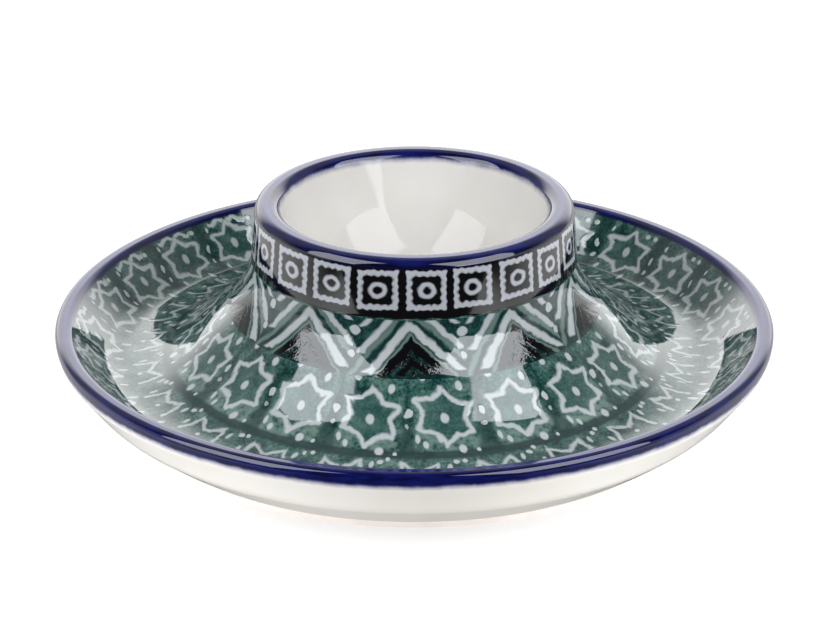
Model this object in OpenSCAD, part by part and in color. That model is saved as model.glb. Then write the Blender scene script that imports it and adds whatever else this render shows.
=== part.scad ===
// Egg cup that rises from the middle of its own saucer: one fired stoneware body and its coats of glaze.
// Millimetres, +Z up. The origin is the centre of the face that it stands on.

/* [Cup] */
// Height of the cup's rim above the table
cup_h = 38.6; // [35:0.2:44]
// Outer diameter of the cup at its rim
cup_d = 57; // [54:0.5:62]
// Thickness of the wall at the rim
rim_w = 4; // [3:0.1:5]
// Radius of each edge of the rim
rim_edge_r = 1.9; // [0.8:0.1:2.4]
// How much the outer wall spreads from the rim to the cone's shoulder, on the radius
cup_spread = 1.3; // [0.5:0.1:3]
// Depth of the bowl that holds the egg
bowl_depth = 25; // [23:0.5:27]
// How much the bowl narrows from its mouth to its floor, on the radius
bowl_taper = 7.8; // [6.5:0.1:8]
// Radius of the bowl's rounded floor
bowl_round_r = 22; // [18:0.5:22]
// Least radius of the flat in the middle of the bowl's floor
bowl_flat_r = 0.5; // [0.2:0.1:1]

/* [Cone] */
// Height of the shoulder where the cup's wall turns into the cone
shoulder_h = 22.8; // [19:0.2:25]
// Radius of the hollow curve at the shoulder
shoulder_r = 15; // [5:0.5:25]

/* [Saucer] */
// Diameter of the saucer over its lip
saucer_d = 130; // [122:1:146]
// Height of the lip above the table
saucer_h = 16.5; // [14.5:0.5:20]
// Height of the well's floor above the table
well_h = 8.5; // [8:0.1:11]
// Width of the well between the foot of the cone and the foot of the flange
well_w = 10; // [7:0.5:15]
// Radius of the curve from the cone into the well
well_in_r = 18; // [8:0.5:25]
// Radius of the curve from the well into the flange
well_out_r = 6; // [3:0.5:12]
// Width of the rising flange, seen from above
flange_w = 7.4; // [5:0.1:12]
// Width of the lip before its edges are rounded
lip_w = 2.6; // [2:0.1:4]
// Radius of the lip's outer edge
lip_out_r = 1.2; // [0.6:0.1:2]
// Radius of the lip's inner edge
lip_in_r = 1.5; // [0.5:0.1:3]
// Height at which the side under the lip turns in
side_h = 13.8; // [12:0.1:14]
// Radius of the side under the lip
side_r = 4.5; // [2:0.1:6]
// Height of the belly, between the side and the foot
belly_h = 7.1; // [5:0.1:9]
// How far the belly stands in from the lip, on the radius
belly_in_w = 5; // [3:0.1:7]
// Radius of the belly
belly_r = 14; // [6:0.5:20]

/* [Foot] */
// Outer diameter of the flat ring that the saucer stands on
foot_d = 104; // [98:1:110]
// Width of the standing face
foot_w = 2.8; // [2:0.1:5]
// Radius of the foot's worn edges
foot_edge_r = 0.6; // [0.2:0.1:0.9]
// Height of the cove between the foot and the belly
cove_h = 1.6; // [1:0.1:2.4]
// How far the cove stands out from the standing face
cove_w = 1.2; // [0.6:0.1:2.4]
// How far the foot's inner side leans in, up to the ceiling of the hollow
foot_lean = 1.6; // [0.6:0.1:3]

/* [Wall] */
// Thickness of the saucer, the cone and the bowl's floor
wall_t = 4; // [3.4:0.1:4.6]
// Radius where the hollow's ceiling meets the foot
ceiling_r = 2; // [0.5:0.1:3]
// Radius where the hollow's ceiling turns up into the cone
throat_r = 8; // [3:0.5:15]
// Radius of the top of the groove between the cone and the bowl
groove_r = 2.2; // [1.2:0.1:3]

/* [Glaze] */
// Thickness of every coat of glaze
glaze_t = 0.4; // [0.2:0.05:0.8]
// Clearance between a coat and the clay under it, so that the two never share room
seat_gap = 0.05; // [0.02:0.01:0.1]
// Width of the blue band from the crest of the cup's rim down into the bowl
rim_band_in_w = 3.2; // [1.5:0.1:6]
// Width of the blue band from the crest of the cup's rim down the outside
rim_band_out_w = 2.5; // [1:0.1:5]
// Width of the black band of stamped squares
square_band_w = 9.5; // [6:0.1:11]
// Width of the band of chevrons
chevron_band_w = 10.2; // [6:0.1:12]
// Width of the inner row of stars, on the cone
inner_star_band_w = 14.5; // [12:0.1:17]
// Width of the blue band from the crest of the saucer's lip in towards the well
lip_band_in_w = 1.6; // [0.8:0.1:3]
// Width of the blue band from the crest of the saucer's lip down the outside
lip_band_out_w = 3.9; // [2:0.1:6]
// Width of bare clay beside the standing face, outside the foot
bare_out_w = 2.6; // [1:0.1:4]
// Width of bare clay beside the standing face, inside the foot
bare_in_w = 1.4; // [0.8:0.1:2]

/* [Hidden] */
$fn = 96;

// Largest turn between two neighbouring points of an arc, in degrees
arc_step = 5;
// Two points of a path that lie closer than this are one point
same_point = 0.001;

// Corners on the show side, as [radius from the axis, height]
rim_out = [cup_d / 2, cup_h];
rim_in = [rim_out[0] - rim_w, cup_h];
rim_crest = (rim_out + rim_in) / 2;
bowl_floor = [rim_in[0] - bowl_taper, cup_h - bowl_depth];
shoulder = [rim_out[0] + cup_spread, shoulder_h];
lip_out = [saucer_d / 2, saucer_h];
lip_in = [lip_out[0] - lip_w, saucer_h];
flange_foot = [lip_in[0] - flange_w, well_h];
cone_foot = [flange_foot[0] - well_w, well_h];
lip_crest = [(lip_in[0] + lip_out[0] - lip_out_r) / 2, saucer_h];

// Corners on the under side
side = [lip_out[0], side_h];
belly = [lip_out[0] - belly_in_w, belly_h];
foot_out = [foot_d / 2, 0];
foot_in = [foot_out[0] - foot_w, 0];
foot_middle = (foot_out + foot_in) / 2;
cove = [foot_out[0] + cove_w, cove_h];
ceiling_h = well_h - wall_t;
ceiling_edge = [foot_in[0] - foot_lean, ceiling_h];

// The cone's fall line and the square to it that points out of the clay
cone_run = (cone_foot - shoulder) / norm(cone_foot - shoulder);
cone_out = [-cone_run[1], cone_run[0]];

// The inner face of the cone's wall, met by the hollow's ceiling
inner_cone = cone_foot - wall_t * cone_out;
throat = inner_cone + cone_run * (ceiling_h - inner_cone[1]) / cone_run[1];

// The round of the bowl's floor, which has the room from the wall to the flat in the middle, and the groove
// that touches both it and the inner face of the cone
bowl_corner = acos(step_to(bowl_floor, [0, bowl_floor[1]]) * step_to(bowl_floor, rim_in));
bowl_r = min(bowl_round_r, (bowl_floor[0] - bowl_flat_r) * tan(bowl_corner / 2));
bowl_centre = fillet_centre(bowl_floor, [0, bowl_floor[1]], rim_in, bowl_r);
under_bowl_r = bowl_r + wall_t;
groove_line = inner_cone - groove_r * cone_out;
groove_centre = meet(groove_line, -cone_run, bowl_centre, under_bowl_r + groove_r);
to_bowl = (bowl_centre - groove_centre) / norm(bowl_centre - groove_centre);
groove_from = atan2(cone_out[1], cone_out[0]);
groove_to = (atan2(to_bowl[1], to_bowl[0]) + 360) % 360;
under_bowl_from = groove_to - 180;

// Unit step from one point to another
function step_to(from, to) = (to - from) / norm(to - from);

// Centre of a fillet in the corner p between the straights to a and to b
function fillet_centre(p, a, b, r) =
    let (
        u = step_to(p, a),
        v = step_to(p, b),
        half = acos(u * v) / 2
    )
    p + r / sin(half) * (u + v) / norm(u + v);

// First point at distance r from the centre c, going from p along the unit step d
function meet(p, d, c, r) =
    let (
        along = (c - p) * d,
        beside = norm(p + along * d - c)
    )
    p + (along - sqrt(r * r - beside * beside)) * d;

// Points of an arc from one angle to another
function arc(c, r, from, to) =
    let (n = ceil(abs(to - from) / arc_step))
    [for (k = [0:n]) c + r * [cos(from + (to - from) * k / n), sin(from + (to - from) * k / n)]];

// A list of corners [point, fillet radius] becomes a path: half the angle inside corner i
function half_angle(c, i) = acos(step_to(c[i][0], c[i - 1][0]) * step_to(c[i][0], c[i + 1][0])) / 2;

// Length of straight that the fillet at corner i takes from each of its sides
function fillet_reach(c, i) =
    i == 0 || i == len(c) - 1 || c[i][1] == 0 ? 0 : c[i][1] / tan(half_angle(c, i));

// Share of its radius that the fillet at corner i keeps, so that neighbours never run into each other
function room_share(c, i) =
    min([
        1,
        for (j = [i - 1, i])
            norm(c[j + 1][0] - c[j][0]) / max(fillet_reach(c, j) + fillet_reach(c, j + 1), same_point)
    ]);

// Points of the fillet at corner i
function fillet(c, i) =
    let (
        p = c[i][0],
        r = c[i][1] * room_share(c, i),
        q = fillet_centre(p, c[i - 1][0], c[i + 1][0], r),
        reach = r / tan(half_angle(c, i)),
        start = p + reach * step_to(p, c[i - 1][0]) - q,
        stop = p + reach * step_to(p, c[i + 1][0]) - q,
        from = atan2(start[1], start[0]),
        swing = (atan2(stop[1], stop[0]) - from + 540) % 360 - 180
    )
    arc(q, r, from, from + swing);

// Points of a path of corners, with a fillet at each
function rounded(c) =
    [for (i = [0:len(c) - 1]) each (fillet_reach(c, i) == 0 ? [c[i][0]] : fillet(c, i))];

// A path without repeated points
function distinct(p) =
    [for (i = [0:len(p) - 1]) if (i == 0 || norm(p[i] - p[max(i - 1, 0)]) > same_point) p[i]];

// Lengths along a path, from its start to each of its points
function stations(p) =
    [for (i = 0, s = 0; i < len(p); i = i + 1, s = i < len(p) ? s + norm(p[i] - p[i - 1]) : s) s];

// Unit square to the stretch from point i, which points into the clay
function into_clay(p, i) = let (u = step_to(p[i], p[i + 1])) [u[1], -u[0]];

// The path moved into the clay by t, parallel to itself
function parallel(p, t) =
    [
        for (i = [0:len(p) - 1])
            let (
                m = into_clay(p, max(i - 1, 0)),
                n = into_clay(p, min(i, len(p) - 2))
            )
            p[i] + t * (m + n) / (1 + m * n)
    ];

// Place on path p at the length s, where st holds the lengths of the glazed surface
function at(p, st, s) =
    let (
        i = max([for (k = [0:len(st) - 2]) if (st[k] <= s) k]),
        share = (s - st[i]) / (st[i + 1] - st[i])
    )
    p[i] + share * (p[i + 1] - p[i]);

// The stretch of path p between two lengths
function stretch(p, st, from, to) =
    [
        at(p, st, from),
        for (i = [0:len(p) - 1]) if (st[i] > from + same_point && st[i] < to - same_point) p[i],
        at(p, st, to)
    ];

function backwards(p) = [for (i = [len(p) - 1:-1:0]) p[i]];

// The glazed surface, from the axis in the bowl, over the rim and the lip, to the axis in the hollow
bowl_path = rounded([
    [[0, bowl_floor[1]], 0],
    [bowl_floor, bowl_r],
    [rim_in, rim_edge_r],
    [rim_crest, 0],
]);
show_path = rounded([
    [rim_crest, 0],
    [rim_out, rim_edge_r],
    [shoulder, shoulder_r],
    [cone_foot, well_in_r],
    [flange_foot, well_out_r],
    [lip_in, lip_in_r],
    [lip_crest, 0],
]);
under_path = rounded([
    [lip_crest, 0],
    [lip_out, lip_out_r],
    [side, side_r],
    [belly, belly_r],
    [cove, 0],
    [foot_out, foot_edge_r],
    [foot_middle, 0],
]);
hollow_path = concat(
    rounded([
        [foot_middle, 0],
        [foot_in, foot_edge_r],
        [ceiling_edge, ceiling_r],
        [throat, throat_r],
        [groove_centre + groove_r * cone_out, 0],
    ]),
    arc(groove_centre, groove_r, groove_from, groove_to),
    arc(bowl_centre, under_bowl_r, under_bowl_from, -90),
    [[0, bowl_centre[1] - under_bowl_r]]
);
surface = distinct(concat(bowl_path, show_path, under_path, hollow_path));
clay = parallel(surface, glaze_t);
seat = parallel(surface, glaze_t - seat_gap);
lengths = stations(surface);

// Length of a section of the surface
function section_length(p) = let (st = stations(p)) st[len(st) - 1];

// Where each coat of glaze begins and ends, as lengths along the surface
rim_crest_at = section_length(bowl_path);
lip_crest_at = rim_crest_at + section_length(show_path);
foot_at = lip_crest_at + section_length(under_path);
axis_at = lengths[len(lengths) - 1];
lining_end = rim_crest_at - rim_band_in_w;
squares_start = rim_crest_at + rim_band_out_w;
chevrons_start = squares_start + square_band_w;
inner_stars_start = chevrons_start + chevron_band_w;
outer_stars_start = inner_stars_start + inner_star_band_w;
lip_band_start = lip_crest_at - lip_band_in_w;
lip_band_end = lip_crest_at + lip_band_out_w;
bare_start = foot_at - foot_w / 2 - bare_out_w;
bare_end = foot_at + foot_w / 2 + bare_in_w;

// A coat of glaze over one stretch of the surface, turned about the axis
module coat(from, to) {
    rotate_extrude()
        polygon(concat(
            stretch(surface, lengths, from, to),
            backwards(stretch(seat, lengths, from, to))
        ));
}

// The fired clay: cup, cone, saucer and foot in one piece, bare only on and beside the standing face
module stoneware_body() {
    color([0.87, 0.82, 0.78])
        rotate_extrude()
            polygon(concat(
                stretch(clay, lengths, 0, bare_start),
                stretch(surface, lengths, bare_start, bare_end),
                stretch(clay, lengths, bare_end, axis_at)
            ));
}

// Cream glaze inside the bowl, up to the blue of the rim
module bowl_lining_glaze() {
    color([0.92, 0.91, 0.87])
        coat(0, lining_end);
}

// Blue over the cup's rim
module cup_rim_band() {
    color([0.1, 0.12, 0.42])
        coat(lining_end, squares_start);
}

// Black band that carries the stamped squares
module square_band() {
    color([0.05, 0.05, 0.07])
        coat(squares_start, chevrons_start);
}

// Green band that carries the chevrons
module chevron_band() {
    color([0.2, 0.42, 0.37])
        coat(chevrons_start, inner_stars_start);
}

// Green band that carries the row of stars on the cone
module inner_star_band() {
    color([0.13, 0.34, 0.3])
        coat(inner_stars_start, outer_stars_start);
}

// Green band that carries the row of stars in the well and on the flange
module outer_star_band() {
    color([0.17, 0.38, 0.33])
        coat(outer_stars_start, lip_band_start);
}

// Blue over the saucer's lip
module saucer_rim_band() {
    color([0.1, 0.12, 0.42])
        coat(lip_band_start, lip_band_end);
}

// Cream glaze under the saucer, from the blue of the lip to the bare foot
module underside_glaze() {
    color([0.92, 0.91, 0.87])
        coat(lip_band_end, bare_start);
}

// Cream glaze in the hollow inside the foot, under the cone and the bowl
module hollow_glaze() {
    color([0.9, 0.89, 0.85])
        coat(bare_end, axis_at);
}

stoneware_body();
bowl_lining_glaze();
cup_rim_band();
square_band();
chevron_band();
inner_star_band();
outer_star_band();
saucer_rim_band();
underside_glaze();
hollow_glaze();
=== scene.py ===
"""Egg cup that rises from the middle of its own saucer, in glazed stoneware with stamped bands.

Every piece is turned about one axis from one section, the same that the solids are turned from.
So coats that meet share one smooth surface. Lengths are millimetres until a mesh is made.
"""

import logging
import math
from dataclasses import dataclass, field
from enum import Enum
from functools import partialmethod
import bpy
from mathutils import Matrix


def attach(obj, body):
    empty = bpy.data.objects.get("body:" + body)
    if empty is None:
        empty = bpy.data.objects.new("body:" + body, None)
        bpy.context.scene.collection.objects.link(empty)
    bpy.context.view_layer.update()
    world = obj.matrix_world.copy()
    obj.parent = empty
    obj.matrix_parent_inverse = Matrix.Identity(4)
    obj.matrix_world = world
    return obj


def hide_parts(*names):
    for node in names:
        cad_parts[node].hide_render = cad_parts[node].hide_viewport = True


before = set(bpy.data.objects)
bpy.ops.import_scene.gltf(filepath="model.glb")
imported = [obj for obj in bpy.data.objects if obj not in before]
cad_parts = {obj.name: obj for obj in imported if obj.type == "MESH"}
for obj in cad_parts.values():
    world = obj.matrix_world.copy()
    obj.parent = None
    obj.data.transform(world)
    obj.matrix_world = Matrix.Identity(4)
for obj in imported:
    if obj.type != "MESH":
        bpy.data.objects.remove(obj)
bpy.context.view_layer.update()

from types import MappingProxyType
from typing import Any, Mapping, Sequence, Union

import bmesh
import bpy
import numpy as np
from mathutils import Vector

LOG = logging.getLogger("egg_cup")
MM = 0.001
TINY = 1e-7
BODY = "root"
IMAGE_WIDTH = 826
FULL_TURN = 2 * math.pi
WHITE = (1.0, 1.0, 1.0)
Colour = tuple[float, float, float]
Point = tuple[float, float]
Socket = bpy.types.NodeSocket


def srgb(red: float, green: float, blue: float) -> Colour:
    """Turns a colour of 0 to 255 into a linear one.

    Args:
        red: red as a screen shows it.
        green: green.
        blue: blue.

    Returns:
        The linear colour.
    """
    def linear(value: float) -> float:
        """One part of the colour."""
        share = value / 255
        return share / 12.92 if share <= 0.04045 else ((share + 0.055) / 1.055) ** 2.4
    return linear(red), linear(green), linear(blue)


def placed(name: str, data: bpy.types.ID, place: Sequence[float] = (0, 0, 0)) -> bpy.types.Object:
    """A new object of the scene at a place in metres.

    Args:
        name: name of the object.
        data: its mesh, lamp or camera.
        place: its place in metres.

    Returns:
        The object.
    """
    made = bpy.data.objects.new(name, data)
    made.location = place
    bpy.context.scene.collection.objects.link(made)
    return made


# Section of the turned piece


class Side(Enum):
    """Which face of a piece's section a point lies on."""

    SHOWN = "shown"
    SEAT = "seat"


@dataclass(frozen=True)
class Station:
    """A point of the section: its place, its outward direction and its run along the glazed surface.

    Args:
        place: radius from the axis and height, in millimetres.
        outward: unit direction out of the clay, as radius and height.
        run: length along the surface, counted from the crest of the cup's rim.
    """

    place: Point
    outward: Point
    run: float

    def moved(self, distance: float) -> Point:
        """The place that lies outwards by a distance."""
        return self.place[0] + distance * self.outward[0], self.place[1] + distance * self.outward[1]


Loop = list[tuple[Station, Side]]


def unit(vector: np.ndarray) -> np.ndarray:
    """Scales a vector to length 1."""
    return vector / np.hypot(*vector)


def on_circle(centre: np.ndarray, radius: float, angle: float) -> Point:
    """The point of a circle at an angle."""
    return tuple(centre + radius * np.array([math.cos(angle), math.sin(angle)]))


@dataclass
class Path:
    """A path of straights and fillets, with its outward directions.

    Args:
        corners: corner points with the radius of the fillet at each.
        turn: largest turn between two points of a fillet, in degrees.
        reach: largest distance between two points of a straight.
    """

    corners: list[tuple[Point, float]]
    turn: float = 2.5
    reach: float = 1.2

    def half_angle(self, i: int) -> float:
        """Half the angle inside corner i, in radians.

        Args:
            i: number of the corner.

        Returns:
            The angle.
        """
        here = np.array(self.corners[i][0])
        before = unit(np.array(self.corners[i - 1][0]) - here)
        after = unit(np.array(self.corners[i + 1][0]) - here)
        return math.acos(float(np.clip(before @ after, -1, 1))) / 2

    def tangent(self, i: int) -> float:
        """Length of straight that the fillet at corner i takes from each side."""
        inner = 0 < i < len(self.corners) - 1 and self.corners[i][1] > 0
        return self.corners[i][1] / math.tan(self.half_angle(i)) if inner else 0.0

    def fillet(self, i: int) -> list[tuple[np.ndarray, np.ndarray]]:
        """Points of the fillet at corner i, each with its outward direction.

        Args:
            i: number of the corner.

        Returns:
            Each point with its outward direction.
        """
        here, radius = np.array(self.corners[i][0]), self.corners[i][1]
        before = unit(np.array(self.corners[i - 1][0]) - here)
        after = unit(np.array(self.corners[i + 1][0]) - here)
        centre = here + radius / math.sin(self.half_angle(i)) * unit(before + after)
        first = here + self.tangent(i) * before - centre
        last = here + self.tangent(i) * after - centre
        start = math.atan2(first[1], first[0])
        swing = (math.atan2(last[1], last[0]) - start + 3 * math.pi) % FULL_TURN - math.pi
        steps = max(3, math.ceil(abs(math.degrees(swing)) / self.turn))
        convex = -1.0 if swing > 0 else 1.0
        found = []
        for k in range(steps + 1):
            angle = start + swing * k / steps
            spoke = np.array([math.cos(angle), math.sin(angle)])
            found.append((centre + radius * spoke, convex * spoke))
        return found

    def points(self) -> list[tuple[np.ndarray, np.ndarray]]:
        """All points of the path, each with its outward direction.

        Returns:
            Each point with its outward direction.
        """
        found: list[tuple[np.ndarray, np.ndarray]] = []
        for i, (corner, _) in enumerate(self.corners):
            here = np.array(corner)
            if self.tangent(i):
                stretch = self.fillet(i)
            else:
                other = np.array(self.corners[i + 1 if i + 1 < len(self.corners) else i - 1][0])
                step = unit(other - here) if i + 1 < len(self.corners) else unit(here - other)
                stretch = [(here, np.array([-step[1], step[0]]))]
            if found:
                gap = stretch[0][0] - found[-1][0]
                length = float(np.hypot(*gap))
                between = math.ceil(length / self.reach)
                for k in range(1, between):
                    found.append((found[-1 - (k - 1)][0] + gap * k / between, stretch[0][1]))
            found.extend(stretch)
        return found


@dataclass
class Section:
    """The glazed surface from the axis in the bowl, over rim and lip, to the axis in the hollow.

    The fields down to glaze are the sizes of the real thing in millimetres, the same as in the
    part's source. The seat is drawn a little clear of the clay, so that no two faces coincide.
    """

    cup_height: float = 38.6
    cup_radius: float = 28.5
    rim_width: float = 4.0
    rim_edge: float = 1.9
    cup_spread: float = 1.3
    bowl_depth: float = 25.0
    bowl_taper: float = 7.8
    bowl_round: float = 22.0
    shoulder_height: float = 22.8
    shoulder_round: float = 15.0
    saucer_radius: float = 65.0
    saucer_height: float = 16.5
    well_height: float = 8.5
    well_width: float = 10.0
    well_inner_round: float = 18.0
    well_outer_round: float = 6.0
    flange_width: float = 7.4
    lip_width: float = 2.6
    lip_outer_edge: float = 1.2
    lip_inner_edge: float = 1.5
    side_height: float = 13.8
    side_round: float = 4.5
    belly_height: float = 7.1
    belly_inset: float = 5.0
    belly_round: float = 14.0
    foot_radius: float = 52.0
    foot_width: float = 2.8
    foot_edge: float = 0.6
    cove_height: float = 1.6
    cove_width: float = 1.2
    cove_round: float = 0.5
    foot_lean: float = 1.6
    wall: float = 4.0
    ceiling_round: float = 2.0
    throat_round: float = 8.0
    groove_round: float = 2.2
    glaze: float = 0.4
    seat_gap: float = 0.05
    least_gap: float = 0.001
    arc_steps: int = 12
    stations: list[Station] = field(default_factory=list)
    lip_crest_run: float = 0.0
    foot_run: float = 0.0

    def __post_init__(self) -> None:
        """Works out the stations of the whole surface."""
        rim_out = (self.cup_radius, self.cup_height)
        rim_in = (self.cup_radius - self.rim_width, self.cup_height)
        rim_crest = (self.cup_radius - self.rim_width / 2, self.cup_height)
        floor = (rim_in[0] - self.bowl_taper, self.cup_height - self.bowl_depth)
        shoulder = (self.cup_radius + self.cup_spread, self.shoulder_height)
        lip_out = (self.saucer_radius, self.saucer_height)
        lip_in = (self.saucer_radius - self.lip_width, self.saucer_height)
        flange_foot = (lip_in[0] - self.flange_width, self.well_height)
        cone_foot = (flange_foot[0] - self.well_width, self.well_height)
        lip_crest = ((lip_in[0] + lip_out[0] - self.lip_outer_edge) / 2, self.saucer_height)
        foot_in = (self.foot_radius - self.foot_width, 0.0)
        foot_middle = (self.foot_radius - self.foot_width / 2, 0.0)
        bowl = Path([
            ((0.0, floor[1]), 0), (floor, self.bowl_round), (rim_in, self.rim_edge), (rim_crest, 0),
        ])
        show = Path([
            (rim_crest, 0), (rim_out, self.rim_edge), (shoulder, self.shoulder_round),
            (cone_foot, self.well_inner_round), (flange_foot, self.well_outer_round),
            (lip_in, self.lip_inner_edge), (lip_crest, 0),
        ])
        under = Path([
            (lip_crest, 0), (lip_out, self.lip_outer_edge),
            ((self.saucer_radius, self.side_height), self.side_round),
            ((self.saucer_radius - self.belly_inset, self.belly_height), self.belly_round),
            ((self.foot_radius + self.cove_width, self.cove_height), self.cove_round),
            ((self.foot_radius, 0.0), self.foot_edge), (foot_middle, 0),
        ])
        hollow = Path(self.hollow_corners(foot_middle, foot_in, shoulder, cone_foot, floor, rim_in))
        runs = []
        found: list[tuple[np.ndarray, np.ndarray]] = []
        for path in (bowl, show, under, hollow):
            for place, outward in path.points():
                if not found or np.hypot(*(place - found[-1][0])) > self.least_gap:
                    found.append((place, outward))
            steps = np.diff(np.array([place for place, _ in found]), axis=0)
            runs.append(float(np.hypot(steps[:, 0], steps[:, 1]).sum()))
        run = -runs[0]
        for i, (place, outward) in enumerate(found):
            if i:
                run += float(np.hypot(*(place - found[i - 1][0])))
            self.stations.append(Station(tuple(place), tuple(outward), run))
        self.lip_crest_run = runs[1] - runs[0]
        self.foot_run = runs[2] - runs[0]

    def hollow_corners(
        self, foot_middle: Point, foot_in: Point, shoulder: Point, cone_foot: Point, floor: Point,
        rim_in: Point,
    ) -> list[tuple[Point, float]]:
        """Corners of the hollow's surface, from the standing face to the axis under the bowl.

        Args:
            foot_middle: middle of the standing face.
            foot_in: its inner edge.
            shoulder: corner between the cup and the cone.
            cone_foot: corner between the cone and the well.
            floor: corner between the bowl's floor and its side.
            rim_in: inner edge of the cup's rim.

        Returns:
            The corner points with the radius of the fillet at each.
        """
        fall = unit(np.array(cone_foot) - np.array(shoulder))
        square = np.array([-fall[1], fall[0]])
        ceiling = self.well_height - self.wall
        inner = np.array(cone_foot) - self.wall * square
        throat = inner + fall * (ceiling - inner[1]) / fall[1]
        line = inner - self.groove_round * square
        to_floor = unit(np.array([-1.0, 0.0]))
        to_rim = unit(np.array(rim_in) - np.array(floor))
        half = math.acos(float(to_floor @ to_rim)) / 2
        centre = np.array(floor) + self.bowl_round / math.sin(half) * unit(to_floor + to_rim)
        under_round = self.bowl_round + self.wall
        along = float((centre - line) @ -fall)
        beside = float(np.hypot(*(line - along * fall - centre)))
        groove = line - fall * (along - math.sqrt((under_round + self.groove_round) ** 2 - beside ** 2))
        spoke = unit(centre - groove)
        first, last = math.atan2(square[1], square[0]), math.atan2(spoke[1], spoke[0])
        corners = [(foot_middle, 0.0), (foot_in, self.foot_edge),
                   ((foot_in[0] - self.foot_lean, ceiling), self.ceiling_round),
                   (tuple(throat), self.throat_round)]
        for k in range(self.arc_steps + 1):
            angle = first + (last - first) * k / self.arc_steps
            corners.append((on_circle(groove, self.groove_round, angle), 0.0))
        for k in range(1, self.arc_steps + 1):
            angle = last - math.pi + (-math.pi / 2 - last + math.pi) * k / self.arc_steps
            corners.append((on_circle(centre, under_round, angle), 0.0))
        corners.append(((0.0, centre[1] - under_round), 0.0))
        return corners

    def at(self, run: float) -> Station:
        """The station at a run, between its neighbours.

        Args:
            run: length along the surface from the crest of the cup's rim.

        Returns:
            The station.
        """
        after = next(i for i, s in enumerate(self.stations) if s.run >= run - 1e-9 and i)
        low, high = self.stations[after - 1], self.stations[after]
        share = (run - low.run) / (high.run - low.run)
        place = np.array(low.place) * (1 - share) + np.array(high.place) * share
        outward = unit(np.array(low.outward) * (1 - share) + np.array(high.outward) * share)
        return Station(tuple(place), tuple(outward), run)

    def stretch(self, start: float, end: float) -> list[Station]:
        """The stations from one run to another, both ends included.

        Args:
            start: run of the first.
            end: run of the last.

        Returns:
            The stations in order.
        """
        near = 0.05
        inner = (s for s in self.stations if start + near < s.run < end - near)
        return [self.at(start), *inner, self.at(end)]


# Rows of stamps round the axis


@dataclass(frozen=True)
class Row:
    """A row of hand-set stamps round the axis.

    Args:
        count: stamps in the row.
        centres: number and angle in degrees of each stamp that was measured.
    """

    count: int
    centres: tuple[tuple[int, float], ...]

    def phase(self, degrees: np.ndarray) -> np.ndarray:
        """Counts stamps up to an angle: a whole number plus a half is the middle of a stamp.

        Args:
            degrees: angles from +X towards +Y, of any size.

        Returns:
            The phase at each angle, which grows by the row's count on each turn.
        """
        places = np.array([p for p, _ in self.centres], float) + 0.5
        angles = np.array([a for _, a in self.centres], float)
        places = np.concatenate([places - self.count, places, places + self.count])
        angles = np.concatenate([angles - 360, angles, angles + 360])
        turns = np.floor((degrees - angles[0]) / 360)
        return np.interp(degrees - 360 * turns, angles, places) + self.count * turns


SQUARES = Row(21, tuple(enumerate((204.4, 222.5, 240.4, 257.6, 274.4, 290.3, 308.1, 325.3, 341.3))))
CHEVRONS = Row(10, ((0, 232.0), (1, 268.0), (2, 304.0)))
CONE_STARS = Row(19, tuple(enumerate((202.5, 220.9, 240.3, 258.9, 277.8, 296.6, 315.1, 333.8))))
WELL_TIPS = Row(23, (
    (0, 190.4), (1, 206.4), (2, 222.2), (3, 238.3), (6, 287.2), (7, 302.3), (8, 319.8), (9, 336.8),
    (10, 348.9), (11, 362.5), (12, 378.3),
))
FLANGE_STARS = Row(28, (
    (0, 127.9), (1, 140.4), (2, 153.1), (3, 166.1), (4, 178.9), (19, 365.8), (20, 378.8), (21, 391.1),
    (22, 404.4), (23, 418.6),
))


# Turned pieces


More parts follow.
